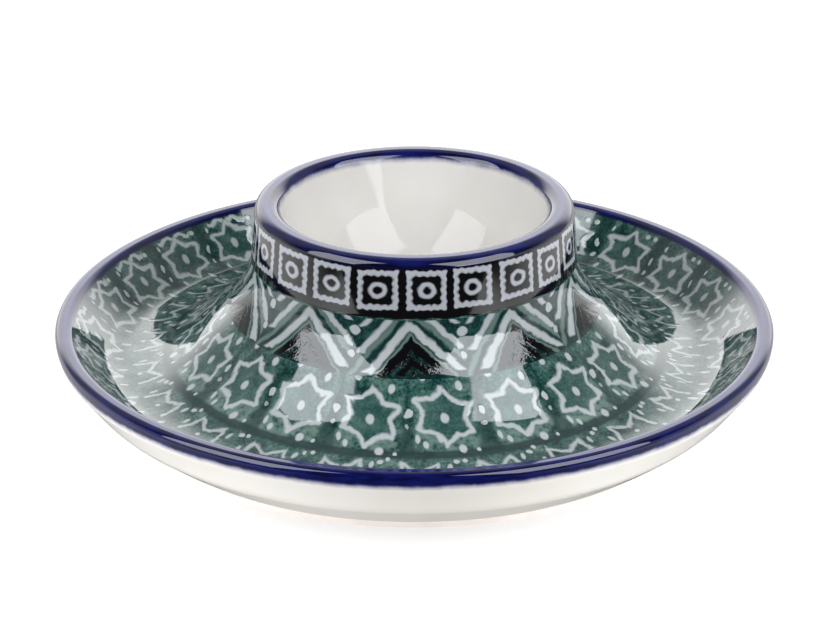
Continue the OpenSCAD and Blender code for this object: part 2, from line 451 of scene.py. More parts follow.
@dataclass
class Coat:
    """A coat of glaze, or the clay, turned from a stretch of the section.

    Args:
        name: name of the piece.
        node: the CAD node that it stands for.
        start: run at which it begins.
        end: run at which it ends.
        strips: strips into which its own map is cut, so that a long band fills a square map.
        rows: the stamped rows that it carries, each given a UV map of its own.
        steps: steps of the full turn.
        seat_share: share of its length that the seat's side takes in the map.
        margin: edge left free round each strip, as a share of the strip.
        least_step: least length that a step of the section takes in the map.
    """

    name: str
    node: str
    start: float
    end: float
    strips: int = 4
    rows: tuple[Row, ...] = ()
    steps: int = 240
    seat_share: float = 0.12
    margin: float = 0.004
    least_step: float = 0.02

    def section(self, section: Section) -> Loop:
        """The closed section of the coat: the shown face outwards, then the seat back.

        Args:
            section: the glazed surface that the coat lies in.

        Returns:
            Each station with the side that it lies on.
        """
        depth = section.glaze - section.seat_gap
        shown = section.stretch(self.start, self.end)
        seat = [Station(s.moved(-depth), (-s.outward[0], -s.outward[1]), s.run) for s in shown]
        return [(s, Side.SHOWN) for s in shown] + [(s, Side.SEAT) for s in reversed(seat)]

    def build(self, section: Section) -> bpy.types.Object:
        """Turns the section about the axis and gives the piece its maps and its shading.

        Args:
            section: the glazed surface that the coat lies in.

        Returns:
            The piece, at the origin, with its place in its mesh.
        """
        loop = self.section(section)
        bm = bmesh.new()
        number = bm.verts.layers.int.new("station")
        points = []
        for i, (station, _) in enumerate(loop):
            point = bm.verts.new((station.place[0] * MM, 0, station.place[1] * MM))
            point[number] = i
            points.append(point)
        pairs = zip(points, points[1:] + points[:1])
        edges = [bm.edges.new(pair) for pair in pairs if max(abs(v.co.x) for v in pair) > TINY]
        bmesh.ops.spin(bm, geom=points + edges, cent=(0, 0, 0), axis=(0, 0, 1), dvec=(0, 0, 0),
                       angle=FULL_TURN, steps=self.steps, use_merge=True, use_normal_flip=False,
                       use_duplicate=False)
        poles = [v for v in bm.verts if math.hypot(v.co.x, v.co.y) < TINY]
        bmesh.ops.remove_doubles(bm, verts=poles, dist=TINY)
        bmesh.ops.recalc_face_normals(bm, faces=bm.faces[:])
        self.lay_maps(bm, loop, number)
        mesh = bpy.data.meshes.new(self.name)
        normals = self.shading(bm, loop, number)
        bm.to_mesh(mesh)
        bm.free()
        mesh.polygons.foreach_set("use_smooth", [True] * len(mesh.polygons))
        mesh.normals_split_custom_set(normals)
        return placed(self.name, mesh)

    def top_of(self, face: bmesh.types.BMFace, number: Any, count: int) -> int:
        """The upper station number of a face, or one past the last where the face closes the loop."""
        found = {v[number] for v in face.verts}
        return count if min(found) == 0 and max(found) > 1 else max(found)

    def lay_maps(self, bm: bmesh.types.BMesh, loop: Loop, number: Any) -> None:
        """Writes the map that the bake uses, and a map for each row of stamps: phase and run.

        Args:
            bm: the turned piece.
            loop: its closed section.
            number: layer that holds each point's station number.
        """
        count = len(loop)
        places = np.array([s.place for s, _ in loop] + [loop[0][0].place])
        lengths = np.hypot(*np.diff(places, axis=0).T)
        shown = [side is Side.SHOWN for _, side in loop]
        both = (shown[i] and shown[(i + 1) % count] for i in range(count))
        weight = np.array([1.0 if seen else self.seat_share for seen in both])
        across = np.concatenate([[0], np.cumsum(np.maximum(lengths, self.least_step) * weight)])
        across /= across[-1]
        bake = bm.loops.layers.uv.new("OFBake")
        rows = [bm.loops.layers.uv.new(f"Row{i + 1}") for i in range(max(1, len(self.rows)))]
        sector, inside = FULL_TURN / self.strips, 1 - 2 * self.margin
        for face in bm.faces:
            centre = face.calc_center_median()
            middle = math.atan2(centre.y, centre.x) % FULL_TURN
            strip = min(int(middle / sector), self.strips - 1)
            high = self.top_of(face, number, count)
            for corner in face.loops:
                here = corner.vert
                station = here[number]
                place = across[count] if high == count and station == 0 else across[station]
                angle = middle
                if math.hypot(here.co.x, here.co.y) > TINY:
                    turn = math.atan2(here.co.y, here.co.x) - middle
                    angle += (turn + math.pi) % FULL_TURN - math.pi
                share = (angle - strip * sector) / sector
                corner[bake].uv = (self.margin + share * inside,
                                   (strip + self.margin + place * inside) / self.strips)
                for i, layer in enumerate(rows):
                    phase = math.degrees(angle) / 360
                    if self.rows:
                        phase = float(self.rows[i].phase(np.array([math.degrees(angle)]))[0])
                    corner[layer].uv = (phase, loop[station][0].run)

    def shading(self, bm: bmesh.types.BMesh, loop: Loop, number: Any) -> list[Vector]:
        """The direction that shades each face corner, from the section, so that coats meet unseen.

        Args:
            bm: the turned piece.
            loop: its closed section.
            number: layer that holds each point's station number.

        Returns:
            A direction for each face corner, in the order of the faces.
        """
        found = []
        for face in bm.faces:
            sides = {loop[v[number]][1] for v in face.verts}
            for corner in face.loops:
                here = corner.vert.co
                reach = math.hypot(here.x, here.y)
                radial, up = loop[corner.vert[number]][0].outward
                if len(sides) > 1:
                    found.append(face.normal.copy())
                elif reach < TINY:
                    found.append(Vector((0, 0, math.copysign(1, up))))
                else:
                    found.append(Vector((radial * here.x / reach, radial * here.y / reach, up)))
        return found


@dataclass
class Clay(Coat):
    """The fired clay: shown at the foot ring, and under the coats everywhere else.

    Args:
        bare_start: run at which the bare ring begins.
        bare_end: run at which it ends.
    """

    bare_start: float = 0.0
    bare_end: float = 0.0

    def section(self, section: Section) -> Loop:
        """The section of the clay: sunk by the glaze, and level with the surface at the bare ring.

        Args:
            section: the glazed surface that the coats lie in.

        Returns:
            Each station with the side that it lies on.
        """
        found = []
        for s in section.stretch(self.start, self.end):
            sunk = Station(s.moved(-section.glaze), s.outward, s.run)
            bare = self.bare_start <= s.run <= self.bare_end
            found.append((s if bare else sunk, Side.SHOWN if bare else Side.SEAT))
        first, last = found[0][0], found[-1][0]
        found[0] = (Station((0.0, first.place[1]), first.outward, first.run), found[0][1])
        found[-1] = (Station((0.0, last.place[1]), last.outward, last.run), found[-1][1])
        return found


# Shader maths


class Value:
    """A number in a node tree, for shader maths written as expressions."""

    def __init__(self, graph: "Graph", socket: Socket) -> None:
        """Wraps an output socket of a graph's node."""
        self.graph, self.socket = graph, socket

    def maths(self, operation: str, *others: "Number") -> "Value":
        """The result of a Math node on this value and others.

        Args:
            operation: the node's operation.
            others: the other inputs, in order.

        Returns:
            The result.
        """
        inputs = dict(enumerate((self, *others)))
        node = self.graph.node("Math", inputs, operation=operation)
        return Value(self.graph, node.outputs[0])

    __add__ = __radd__ = partialmethod(maths, "ADD")
    __sub__ = partialmethod(maths, "SUBTRACT")
    __mul__ = __rmul__ = partialmethod(maths, "MULTIPLY")
    __truediv__ = partialmethod(maths, "DIVIDE")
    __abs__ = partialmethod(maths, "ABSOLUTE")
    least = partialmethod(maths, "MINIMUM")
    most = partialmethod(maths, "MAXIMUM")

    def __rsub__(self, other: float) -> "Value":
        """Difference from a number."""
        return self * -1 + other

    def ease(self, low: float, high: float) -> "Value":
        """A soft step from 0 at low to 1 at high, or from 1 to 0 where low is the larger.

        Args:
            low: where the step begins.
            high: where it ends.

        Returns:
            The result.
        """
        flip = low > high
        inputs = {0: self, 1: min(low, high), 2: max(low, high), 3: float(flip), 4: float(not flip)}
        node = self.graph.node("MapRange", inputs, interpolation_type="SMOOTHSTEP")
        return Value(self.graph, node.outputs[0])


Number = Union[Value, float]


def most_of(*values: Value) -> Value:
    """The largest of several.

    Args:
        values: the numbers to compare.

    Returns:
        The largest.
    """
    found = values[0]
    for value in values[1:]:
        found = found.most(value)
    return found


class Graph:
    """The node tree of a material or of the world, with one method that makes its nodes."""

    def __init__(self, owner: Union[bpy.types.Material, bpy.types.World]) -> None:
        """Empties the owner's tree to start with.

        Args:
            owner: the material or world that the tree belongs to.
        """
        self.owner = owner
        owner.use_nodes = True
        self.tree = owner.node_tree
        self.tree.nodes.clear()

    def node(self, kind: str, inputs: Mapping[Any, Any] = MappingProxyType({}),
             **settings: Any) -> bpy.types.Node:
        """Adds a node.

        Args:
            kind: type of the node, without the prefix that all shader nodes share.
            inputs: values or links of its sockets, by name or number.
            settings: the node's own settings, set first.

        Returns:
            The node.
        """
        made = self.tree.nodes.new(f"ShaderNode{kind}")
        for key, value in settings.items():
            setattr(made, key, value)
        for key, value in inputs.items():
            socket = made.inputs[key]
            source = value.socket if isinstance(value, Value) else value
            if isinstance(source, Socket):
                self.tree.links.new(source, socket)
            elif socket.type == "RGBA" and len(source) == 3:
                socket.default_value = (*source, 1)
            else:
                socket.default_value = source
        return made

    def mix(self, share: Number, low: Any, high: Any) -> Socket:
        """A colour from low at share 0 to high at share 1."""
        return self.node("Mix", {0: share, 6: low, 7: high}, data_type="RGBA").outputs[2]

    def vector(self, operation: str, *parts: Any, **named: Any) -> Socket:
        """The result of a Vector Math node."""
        inputs = {**dict(enumerate(parts)), **named}
        return self.node("VectorMath", inputs, operation=operation).outputs["Vector"]

    def length(self, vector: Socket) -> Value:
        """The length of a vector."""
        return Value(self, self.node("VectorMath", {0: vector}, operation="LENGTH").outputs["Value"])

    def split(self, vector: Socket) -> list[Value]:
        """The three parts of a vector."""
        return [Value(self, part) for part in self.node("SeparateXYZ", {0: vector}).outputs]

    def join(self, across: Value, down: Value) -> Socket:
        """A vector from its first two parts."""
        return self.node("CombineXYZ", {0: across, 1: down}).outputs[0]

    def place(self) -> Socket:
        """Object coordinates, in metres."""
        return self.node("TexCoord").outputs["Object"]

    def chart(self, row: int) -> list[Value]:
        """The phase round the axis and the run along the surface, from the map of a row."""
        return self.split(self.node("UVMap", uv_map=f"Row{row}").outputs[0])[:2]

    def bump(self, height: Value) -> Socket:
        """The shaded direction over a relief in millimetres."""
        return self.node("Bump", {"Strength": 1.0, "Distance": MM, "Height": height}).outputs[0]

    def noise(self, size: float, detail: float = 2.0, roughness: float = 0.5,
              stretch: Point = (1, 1)) -> Value:
        """Noise that changes over the piece in all three directions.

        Args:
            size: size of the features in millimetres.
            detail: octaves of finer noise.
            roughness: weight of the finer octaves.
            stretch: scale in plan and scale in height.

        Returns:
            The noise, from 0 to 1.
        """
        scaled = self.vector("MULTIPLY", self.place(), (stretch[0], stretch[0], stretch[1]))
        inputs = {"Vector": scaled, "Scale": 1 / (size * MM), "Detail": detail, "Roughness": roughness}
        return Value(self, self.node("TexNoise", inputs, noise_dimensions="3D").outputs["Fac"])

    def frayed(self, edge: Value, size: float, detail: float, spread: float) -> Value:
        """A run that strays to both sides, so that an edge drawn along it isn't straight."""
        return edge + (self.noise(size, detail) - 0.5) * spread

    def finish(self, shader: Socket) -> bpy.types.Material:
        """Ends a material's tree in a shader."""
        self.node("OutputMaterial", {"Surface": shader})
        return self.owner


@dataclass(frozen=True)
class Gloss:
    """The clear glaze over every coat: how smooth it is and how its surface waves."""

    roughness: float = 0.045
    index: float = 1.9
    wave_size: float = 14.0
    wave_height: float = 0.05
    ripple_size: float = 2.6
    ripple_height: float = 0.004

    def shader(self, graph: Graph, colour: Socket, relief: Number = 0.0) -> Socket:
        """The glossy shader over a colour.

        Args:
            graph: the material's tree.
            colour: the colour under the glaze.
            relief: extra height in millimetres, where a stamp stands proud.

        Returns:
            The shader's output.
        """
        height = graph.noise(self.wave_size, 1.0) * self.wave_height
        height = height + graph.noise(self.ripple_size, 2.0) * self.ripple_height + relief
        inputs = {"Base Color": colour, "Roughness": self.roughness, "IOR": self.index,
                  "Normal": graph.bump(height)}
        return graph.node("BsdfPrincipled", inputs).outputs[0]


COLOURED_GLOSS = Gloss()
CREAM_GLOSS = Gloss(index=1.45, roughness=0.03)
COBALT_GLOSS = Gloss(index=1.7)


# Stamps


@dataclass
class Cell:
    """Place inside one stamp of a row, in millimetres from the stamp's middle: across, and down the run.

    Args:
        graph: the material's tree.
        row: the row of stamps.
        number: number of the row's UV map on the piece.
        middle: run of the row's middle.
        sway: how far a stamp may stray from its place.
        shear: how much a stamp leans, down the run per millimetre across.
        wobble: how far a line may bend.
        wobble_size: size of those bends.
        shiver: how far a line may stray in its finest bends.
        squash: how much a stamp is flattened along the run.
        tilt: how much a stamp's lean may stray.
    """

    graph: Graph
    row: Row
    number: int
    middle: float
    sway: float = 0.25
    shear: float = 0.0
    wobble: float = 0.75
    wobble_size: float = 2.2
    shiver: float = 0.16
    squash: float = 1.0
    tilt: float = 0.14

    def __post_init__(self) -> None:
        """Works out the place from the row's map."""
        graph = self.graph
        phase, self.run = graph.chart(self.number)
        reach = graph.length(graph.vector("MULTIPLY", graph.place(), (1, 1, 0))) * (1 / MM)
        pitch = reach * (FULL_TURN / self.row.count)
        cell = phase.maths("FLOOR").maths("WRAP", float(self.row.count), 0.0)
        luck = self.drawn("TexWhiteNoise", "1D", {"W": cell + self.middle})
        across = (phase.maths("FRACT") - 0.5) * pitch + luck[0] * (2 * self.sway)
        down = (self.run - self.middle) * self.squash + luck[1] * (2 * self.sway)
        down = down - across * (luck[2] * self.tilt + self.shear)
        scaled = graph.vector("SCALE", graph.place(), Scale=1 / (self.wobble_size * MM))
        stray = self.drawn("TexNoise", "3D", {"Vector": scaled, "Scale": 1.0, "Detail": 1.0})
        fine = (graph.noise(0.75, 1.0) - 0.5) * (2 * self.shiver)
        bend = stray[0] * (2 * self.wobble) + fine
        self.across = across + bend
        self.down = down + stray[1] * (2 * self.wobble) - fine
        self.border = abs(((phase + 0.5).maths("FRACT") - 0.5) * pitch + bend)
        self.press = stray[2] * 0.5
        self.point = graph.join(self.across, self.down)
        self.calm = graph.join(across + bend * 0.35, down)

    def drawn(self, kind: str, dimensions: str, inputs: dict[str, Any]) -> list[Value]:
        """Three numbers from -0.5 to 0.5, from the colour of a noise node.

        Args:
            kind: type of the noise node.
            dimensions: its dimensions.
            inputs: values or links of its sockets.

        Returns:
            The three numbers.
        """
        cloud = self.graph.node(kind, inputs, noise_dimensions=dimensions)
        parts = self.graph.node("SeparateColor", {0: cloud.outputs["Color"]})
        return [Value(self.graph, part) - 0.5 for part in parts.outputs]

    def dot(self, across: float, down: float, wide: float, tall: float) -> Value:
        """An oval dot.

        Args:
            across: its place across the stamp.
            down: its place down the run.
            wide: half its width.
            tall: half its height.

        Returns:
            The share of white: 1 inside and 0 outside.
        """
        shift = (-across / wide, -down / tall, 0)
        scaled = self.graph.vector("MULTIPLY_ADD", self.calm, (1 / wide, 1 / tall, 0), shift)
        return self.graph.length(scaled).ease(1.3, 0.72)

    def border_dot(self, down: float, wide: float, tall: float) -> Value:
        """An oval dot midway between two stamps.

        Args:
            down: its place down the run.
            wide: half its width.
            tall: half its height.

        Returns:
            The share of white: 1 inside and 0 outside.
        """
        across = self.border * (1 / wide)
        along = (self.run - self.middle - down) * (1 / tall)
        return (across * across + along * along).ease(1.34, 0.7)

    def dots(self, places: Sequence[tuple[float, float, float, float]]) -> Value:
        """Several oval dots in one."""
        return most_of(*(self.dot(*place) for place in places))

    def star(self, tip: float, notch: float) -> tuple[Value, Value]:
        """A six-pointed star with one tip up.

        Args:
            tip: distance of the tips from the middle.
            notch: distance of the notches from the middle.

        Returns:
            The distance to the nearest side taken as an endless line, below 0 inside, and the distance to
            the side itself, which rounds the corners of a line drawn along it.
        """
        folded = self.across.maths("ARCTAN2", self.down * -1).maths("PINGPONG", math.pi / 6)
        reach = self.graph.length(self.point)
        along, beside = reach * folded.maths("COSINE") - tip, reach * folded.maths("SINE")
        side = (notch * math.cos(math.pi / 6) - tip, notch * math.sin(math.pi / 6))
        length = math.hypot(*side)
        share = (along * (side[0] / length ** 2) + beside * (side[1] / length ** 2)).least(1.0).most(0.0)
        off, aside = along - share * side[0], beside - share * side[1]
        signed = along * (side[1] / length) - beside * (side[0] / length)
        return signed, (off * off + aside * aside).maths("SQRT")

    def stroke(self, distance: Value, width: float, soft: float = 0.28) -> Value:
        """A line of that width along distance 0, pressed harder in some places than in others."""
        return (abs(distance) - self.press * (0.5 * width)).ease(width / 2 + soft, width / 2 - soft)


@dataclass(frozen=True)
class Paints:
    """The colours of the clay, the glazes and the stamps."""

    deep_green: Colour = srgb(6, 52, 52)
    green: Colour = srgb(56, 99, 91)
    pale_green: Colour = srgb(128, 153, 143)
    star_shade: Colour = srgb(40, 82, 76)
    star_green: Colour = srgb(64, 100, 94)
    star_light: Colour = srgb(100, 132, 124)
    white: Colour = srgb(206, 212, 213)
    black: Colour = srgb(3, 3, 6)
    cobalt: Colour = srgb(16, 24, 98)
    deep_cobalt: Colour = srgb(2, 5, 58)
    thin_cobalt: Colour = srgb(60, 66, 138)
    cream: Colour = srgb(239, 236, 230)
    clay: Colour = srgb(244, 236, 231)


PAINTS = Paints()
CONE_FOOT_RUN = 36.6
STAMP_RELIEF = 0.008
NOWHERE = 1e6


def mottle(graph: Graph, low: Colour, middle: Colour, high: Colour) -> Socket:
    """A sponged ground of three shades, in patches and grain.

    Args:
        graph: the material's tree.
        low: the darkest shade.
        middle: the shade between.
        high: the palest shade.

    Returns:
        The colour.
    """
    patches = graph.noise(3.2, 3.0, 0.6)
    grain = graph.noise(0.55, 2.0, 0.6)
    share = patches * 0.6 + grain * 0.4
    ground = graph.mix(share.ease(0.36, 0.52), low, middle)
    return graph.mix(share.ease(0.48, 0.66) * 0.7, ground, high)


def green_ground(graph: Graph) -> Socket:
    """The sponged green of the bands."""
    return mottle(graph, PAINTS.deep_green, PAINTS.green, PAINTS.pale_green)


def star_ground(graph: Graph, cell: Cell, star: Value, colour: Any) -> Socket:
    """A ground with its stars filled in, and a ring of painted shade in the crease where the cone meets the
    well.

    Args:
        graph: the material's tree.
        cell: the place inside a stamp of the row.
        star: distance to the star's side, below 0 inside.
        colour: the ground without the stars.

    Returns:
        The colour.
    """
    fill = mottle(graph, PAINTS.star_shade, PAINTS.star_green, PAINTS.star_light)
    colour = graph.mix(star.ease(0.1, -0.1), colour, fill)
    # Painted shade: a dark green ring in the crease where the cone meets the well.
    ring = abs(graph.frayed(cell.run - CONE_FOOT_RUN, 4.0, 2.0, 0.6)).ease(1.3, 0.5)
    return graph.mix(ring * 0.9, colour, PAINTS.deep_green)


def blue_share(graph: Graph, run: Value, edge: float, inward: bool) -> Value:
    """How much cobalt shows near an edge where it thins out over the cream, on both sides of that edge.

    Args:
        graph: the material's tree.
        run: the run along the surface.
        edge: run of the edge.
        inward: whether the cobalt lies at the larger runs.

    Returns:
        The share, from 0 on the cream to 1 on the cobalt.
    """
    past = (run - edge) if inward else (edge - run)
    past = graph.frayed(graph.frayed(past, 3.0, 2.0, 0.8), 0.6, 1.0, 0.15)
    return past.ease(-0.75, 0.2) * 0.5 + past.ease(-0.1, 0.95) * 0.5


# Finishes


@dataclass(frozen=True)
class Finish:
    """A material: its paint and the glaze over it.

    Args:
        name: name of the material.
        slot: material slot of the record; not used.
        gloss: the glaze over the colour.
    """

    name: str
    slot: str
    gloss: Gloss = COLOURED_GLOSS

    def paint(self, graph: Graph) -> tuple[Socket, Number]:
        """The colour, and the height in millimetres by which the stamps stand proud."""
        raise NotImplementedError

    def shader(self, graph: Graph) -> Socket:
        """The paint under its glaze."""
        return self.gloss.shader(graph, *self.paint(graph))

    def make(self) -> bpy.types.Material:
        """The material."""
        graph = Graph(bpy.data.materials.new(self.name))
        return graph.finish(self.shader(graph))


@dataclass(frozen=True)
class FiredClay(Finish):
    """Bare clay at the foot: matt, pale and a little sandy."""

    name: str = "fired_clay"
    slot: str = "fired_clay"

    def shader(self, graph: Graph) -> Socket:
        """A matt shader, since there is no glaze.

        Args:
            graph: the material's tree.

        Returns:
            The shader's output.
        """
        grain = graph.noise(0.35, 3.0, 0.7)
        colour = graph.mix(graph.noise(4.0).ease(0.3, 0.7), PAINTS.clay, srgb(238, 229, 222))
        colour = graph.mix(grain.ease(0.66, 0.74) * 0.2, colour, srgb(190, 172, 152))
        inputs = {"Base Color": colour, "Roughness": 0.85, "Normal": graph.bump(grain * 0.05)}
        return graph.node("BsdfPrincipled", inputs).outputs[0]


@dataclass(frozen=True)
class CreamGlaze(Finish):
    """Cream glaze, tinted blue where it meets the cobalt bands.

    Args:
        blue_at: run of each edge with cobalt, and whether the cobalt lies at the larger runs.
        clay_at: run of the edge with the bare clay.
    """

    slot: str = "cream_glaze"
    gloss: Gloss = CREAM_GLOSS
    blue_at: tuple[tuple[float, bool], ...] = ()
    clay_at: float = NOWHERE

    def paint(self, graph: Graph) -> tuple[Socket, Number]:
        """Cream with a few specks, thin blue at the cobalt and bare at the foot.

        Args:
            graph: the material's tree.

        Returns:
            The colour, and the height of the relief in millimetres.
        """
        run = graph.chart(1)[1]
        colour = graph.mix(graph.noise(18.0).ease(0.3, 0.7), PAINTS.cream, srgb(235, 231, 224))
        speck = graph.noise(0.5, 1.0).ease(0.79, 0.83) * graph.noise(6.0).ease(0.52, 0.6)
        colour = graph.mix(speck * 0.35, colour, srgb(150, 130, 110))
        for edge, inward in self.blue_at:
            colour = graph.mix(blue_share(graph, run, edge, inward), colour, PAINTS.thin_cobalt)
        near = abs(graph.frayed(run, 3.0, 2.0, 0.7) - self.clay_at)
        colour = graph.mix(near.ease(0.6, 0.1) * 0.5, colour, PAINTS.clay)
        return colour, 0.0


@dataclass(frozen=True)
class CobaltGlaze(Finish):
    """Brushed cobalt over a rim: darker where it is thick, with a painted highlight of paler blue on the
    crest.

    Args:
        crest: run of the rim's crest, where the painted highlight lies.
        black_at: run of the edge with the black band.
        cream_at: run of each edge with cream, and whether the cobalt lies at the larger runs.
    """

    slot: str = "cobalt_glaze"
    gloss: Gloss = COBALT_GLOSS
    crest: float = 0.0
    black_at: float = NOWHERE
    cream_at: tuple[tuple[float, bool], ...] = ()

    def paint(self, graph: Graph) -> tuple[Socket, Number]:
        """Streaks of blue, with a painted highlight on the crest, and paler where it is thin.

        Args:
            graph: the material's tree.

        Returns:
            The colour, and the height of the relief in millimetres.
        """
        run = graph.chart(1)[1]
        frayed = graph.frayed(run, 3.0, 2.0, 0.7)
        streaks = graph.noise(1.6, 3.0, 0.6, (0.35, 2.0))
        colour = graph.mix(streaks.ease(0.3, 0.7), PAINTS.deep_cobalt, PAINTS.cobalt)
        # Painted highlight: a patchy paler blue along the crest, standing in for the lamps' reflection
        # there.
        crest_highlight = abs(frayed - self.crest).ease(1.1, 0.1) * (0.25 + graph.noise(5.0) * 0.5)
        colour = graph.mix(crest_highlight, colour, srgb(70, 76, 150))
        for edge, inward in self.cream_at:
            share = blue_share(graph, run, edge, inward)
            thin = graph.mix(share, PAINTS.cream, PAINTS.thin_cobalt)
            colour = graph.mix(share.ease(0.45, 1.0), thin, colour)
        colour = graph.mix(frayed.ease(self.black_at - 0.8, self.black_at + 0.1), colour, PAINTS.black)
        return colour, 0.0


@dataclass(frozen=True)
class SquareStamp(Finish):
    """Black band with stamped squares, each a scalloped frame round a ring."""

    name: str = "black_stamp_glaze"
    slot: str = "black_stamp_glaze"
    middle: float = 6.7
    start: float = 2.5
    end: float = 12.0
    half_width: float = 3.16
    half_height: float = 3.1
    scallop: float = 1.3
    ring_width: float = 1.22
    ring_height: float = 1.1

    def paint(self, graph: Graph) -> tuple[Socket, Number]:
        """White squares on black, with blue above and green below.

        Args:
            graph: the material's tree.

        Returns:
            The colour, and the height of the relief in millimetres.
        """
        cell = Cell(graph, SQUARES, 1, self.middle, sway=0.15, wobble=0.22, wobble_size=1.5, shiver=0.07)
        turn = FULL_TURN / self.scallop
        scallop = ((cell.across * turn).maths("COSINE") + (cell.down * turn).maths("COSINE")) * 0.11
        across, down = abs(cell.across) - self.half_width, abs(cell.down) - self.half_height
        square = cell.stroke(across.most(down) + scallop, 0.82, 0.22)
        scaled = graph.vector("MULTIPLY", cell.point, (1 / self.ring_width, 1 / self.ring_height, 0))
        middle = (self.ring_width + self.ring_height) / 2
        ring = cell.stroke((graph.length(scaled) - 1) * middle, 0.74, 0.22)
        white = square.most(ring)
        colour = graph.mix(white * 0.94, PAINTS.black, srgb(209, 212, 219))
        edge = graph.frayed(cell.run, 1.8, 1.0, 0.8)
        colour = graph.mix(edge.ease(self.end - 0.35, self.end - 0.15), colour, green_ground(graph))
        colour = graph.mix(edge.ease(self.start + 0.7, self.start), colour, PAINTS.deep_cobalt)
        return colour, white * STAMP_RELIEF


@dataclass(frozen=True)
class ChevronStamp(Finish):
    """Green band with stamped chevrons, one inside another."""

    name: str = "chevron_stamp_glaze"
    slot: str = "chevron_stamp_glaze"
    start: float = 12.0
    peak: float = 0.9
    slope: float = 0.97
    lean: float = 0.12

    def paint(self, graph: Graph) -> tuple[Socket, Number]:
        """White chevrons on green, each over a black arch.

        Args:
            graph: the material's tree.

        Returns:
            The colour, and the height of the relief in millimetres.
        """
        cell = Cell(graph, CHEVRONS, 1, self.start, sway=0.0, wobble=0.6, wobble_size=2.4)
        across = abs(cell.across - cell.down * self.lean)
        arm = (across - (cell.down - self.peak) * self.slope) * math.sin(math.radians(46))
        ground = mottle(graph, srgb(2, 38, 40), srgb(16, 62, 60), srgb(60, 100, 92))
        stripes = cell.stroke(arm - 2.0, 0.9, 0.3).most(cell.stroke(arm + 1.3, 0.5, 0.2))
        colour = graph.mix(stripes * 0.7, ground, PAINTS.pale_green)
        colour = graph.mix(cell.stroke(arm - 1.25, 0.7, 0.25) * 0.75, colour, PAINTS.deep_green)
        inside = arm.ease(-1.5, -1.8)
        colour = graph.mix(inside * graph.noise(1.3, 2.0).ease(0.4, 0.5), colour, srgb(5, 40, 40))
        blots = inside * graph.noise(0.8, 2.0, 0.6).ease(0.52, 0.58)
        black = most_of(cell.stroke(arm + 2.2, 1.45, 0.15), cell.stroke(arm + 4.3, 1.1, 0.2), blots)
        black = black * cell.down.ease(9.9, 9.5)
        colour = graph.mix(black, colour, PAINTS.black)
        white = most_of(
            cell.stroke(arm, 1.35) * cell.down.ease(9.6, 9.2),
            cell.stroke(arm - 3.1, 1.1) * cell.down.ease(5.9, 5.4),
            cell.stroke(arm - 5.7, 0.9) * cell.down.ease(1.3, 0.9),
            cell.border_dot(2.3, 0.8, 0.85),
            cell.border_dot(6.4, 0.6, 0.65),
        )
        colour = graph.mix(white * 0.95, colour, PAINTS.white)
        edge = graph.frayed(cell.run, 1.8, 1.0, 0.8)
        colour = graph.mix(edge.ease(self.start + 0.05, self.start - 0.15), colour, PAINTS.black)
        return colour, white * STAMP_RELIEF + black * graph.noise(0.6, 2.0, 0.6) * 0.03


@dataclass(frozen=True)
class ConeStarStamp(Finish):
    """Green band on the cone with a row of stars and the dots between them."""

    name: str = "cone_star_glaze"
    slot: str = "star_stamp_glaze"
    middle: float = 29.4
    tip: float = 5.35
    notch: float = 3.6

    def paint(self, graph: Graph) -> tuple[Socket, Number]:
        """White stars and dots on green, paler towards the well.

        Args:
            graph: the material's tree.

        Returns:
            The colour, and the height of the relief in millimetres.
        """
        cell = Cell(graph, CONE_STARS, 1, self.middle, shear=0.06)
        star, outline = cell.star(self.tip, self.notch)
        pale = graph.frayed(cell.run, 4.0, 2.0, 3.0).ease(28.0, 34.0)
        pale = pale * graph.noise(1.6, 2.0, 0.6).ease(0.3, 0.62)
        colour = graph.mix(pale * 0.75, green_ground(graph), PAINTS.pale_green)
        colour = graph.mix(abs(cell.across).ease(4.9, 6.2) * 0.75, colour, PAINTS.deep_green)
        colour = star_ground(graph, cell, star, colour)
        dots = cell.dots((
            (0.1, 0.2, 0.7, 0.9), (2.6, 6.0, 0.72, 0.85), (5.4, 6.1, 0.36, 0.4), (-5.0, 4.6, 0.42, 0.85),
            (-3.6, 5.6, 0.45, 0.72), (3.0, -5.9, 0.6, 0.85), (-3.1, -6.9, 0.6, 0.55),
        ))
        white = most_of(cell.stroke(outline, 0.9), dots, cell.border_dot(-0.9, 0.62, 0.85),
                        cell.border_dot(1.5, 0.36, 0.45) * 0.7)
        colour = graph.mix(white * 0.95, colour, PAINTS.white)
        return colour, white * STAMP_RELIEF


